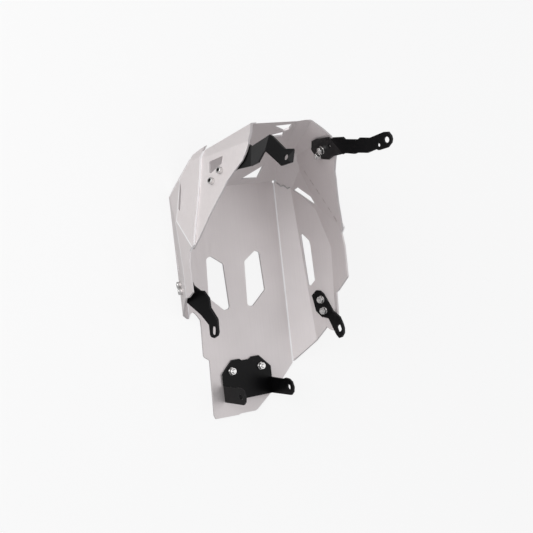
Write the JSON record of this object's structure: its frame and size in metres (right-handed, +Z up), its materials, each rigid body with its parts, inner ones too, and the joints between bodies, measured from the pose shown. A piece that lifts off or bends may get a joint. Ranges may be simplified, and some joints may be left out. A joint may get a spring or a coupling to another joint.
{
  "type": "motorcycle skid plate",
  "caption": "Folded aluminium motorcycle skid plate: flat slotted belly, sloped walls, upswept windowed front shield and black steel mounting brackets held by screws and nuts.",
  "frame": {"origin": "on the flat underside of the belly, on the centre plane, at the front bend line", "axes": "+X towards the rider's right, +Y forwards, +Z up; the belly's underside is at Z = 0"},
  "size_m": [0.278, 0.4358, 0.3012],
  "materials": {
    "sheet": "satin",
    "weld": "satin",
    "bracket": "satin",
    "fastener": "brushed"
  },
  "bodies": {
    "root": {"belly_tray": "sheet", "front_shield": "sheet", "weld_beads": "weld", "front_bracket_left": "bracket", "front_bracket_right": "bracket", "side_bracket_left": "bracket", "side_bracket_right": "bracket", "rear_bracket": "bracket", "front_left_screws": "fastener", "front_left_washers": "fastener", "front_left_nuts": "fastener", "front_right_screws": "fastener", "front_right_washers": "fastener", "front_right_nuts": "fastener", "side_left_screws": "fastener", "side_left_washers": "fastener", "side_left_nuts": "fastener", "side_right_screws": "fastener", "side_right_washers": "fastener", "side_right_nuts": "fastener", "rear_screws": "fastener", "rear_washers": "fastener", "rear_nuts": "fastener"}
  },
  "joints": []
}
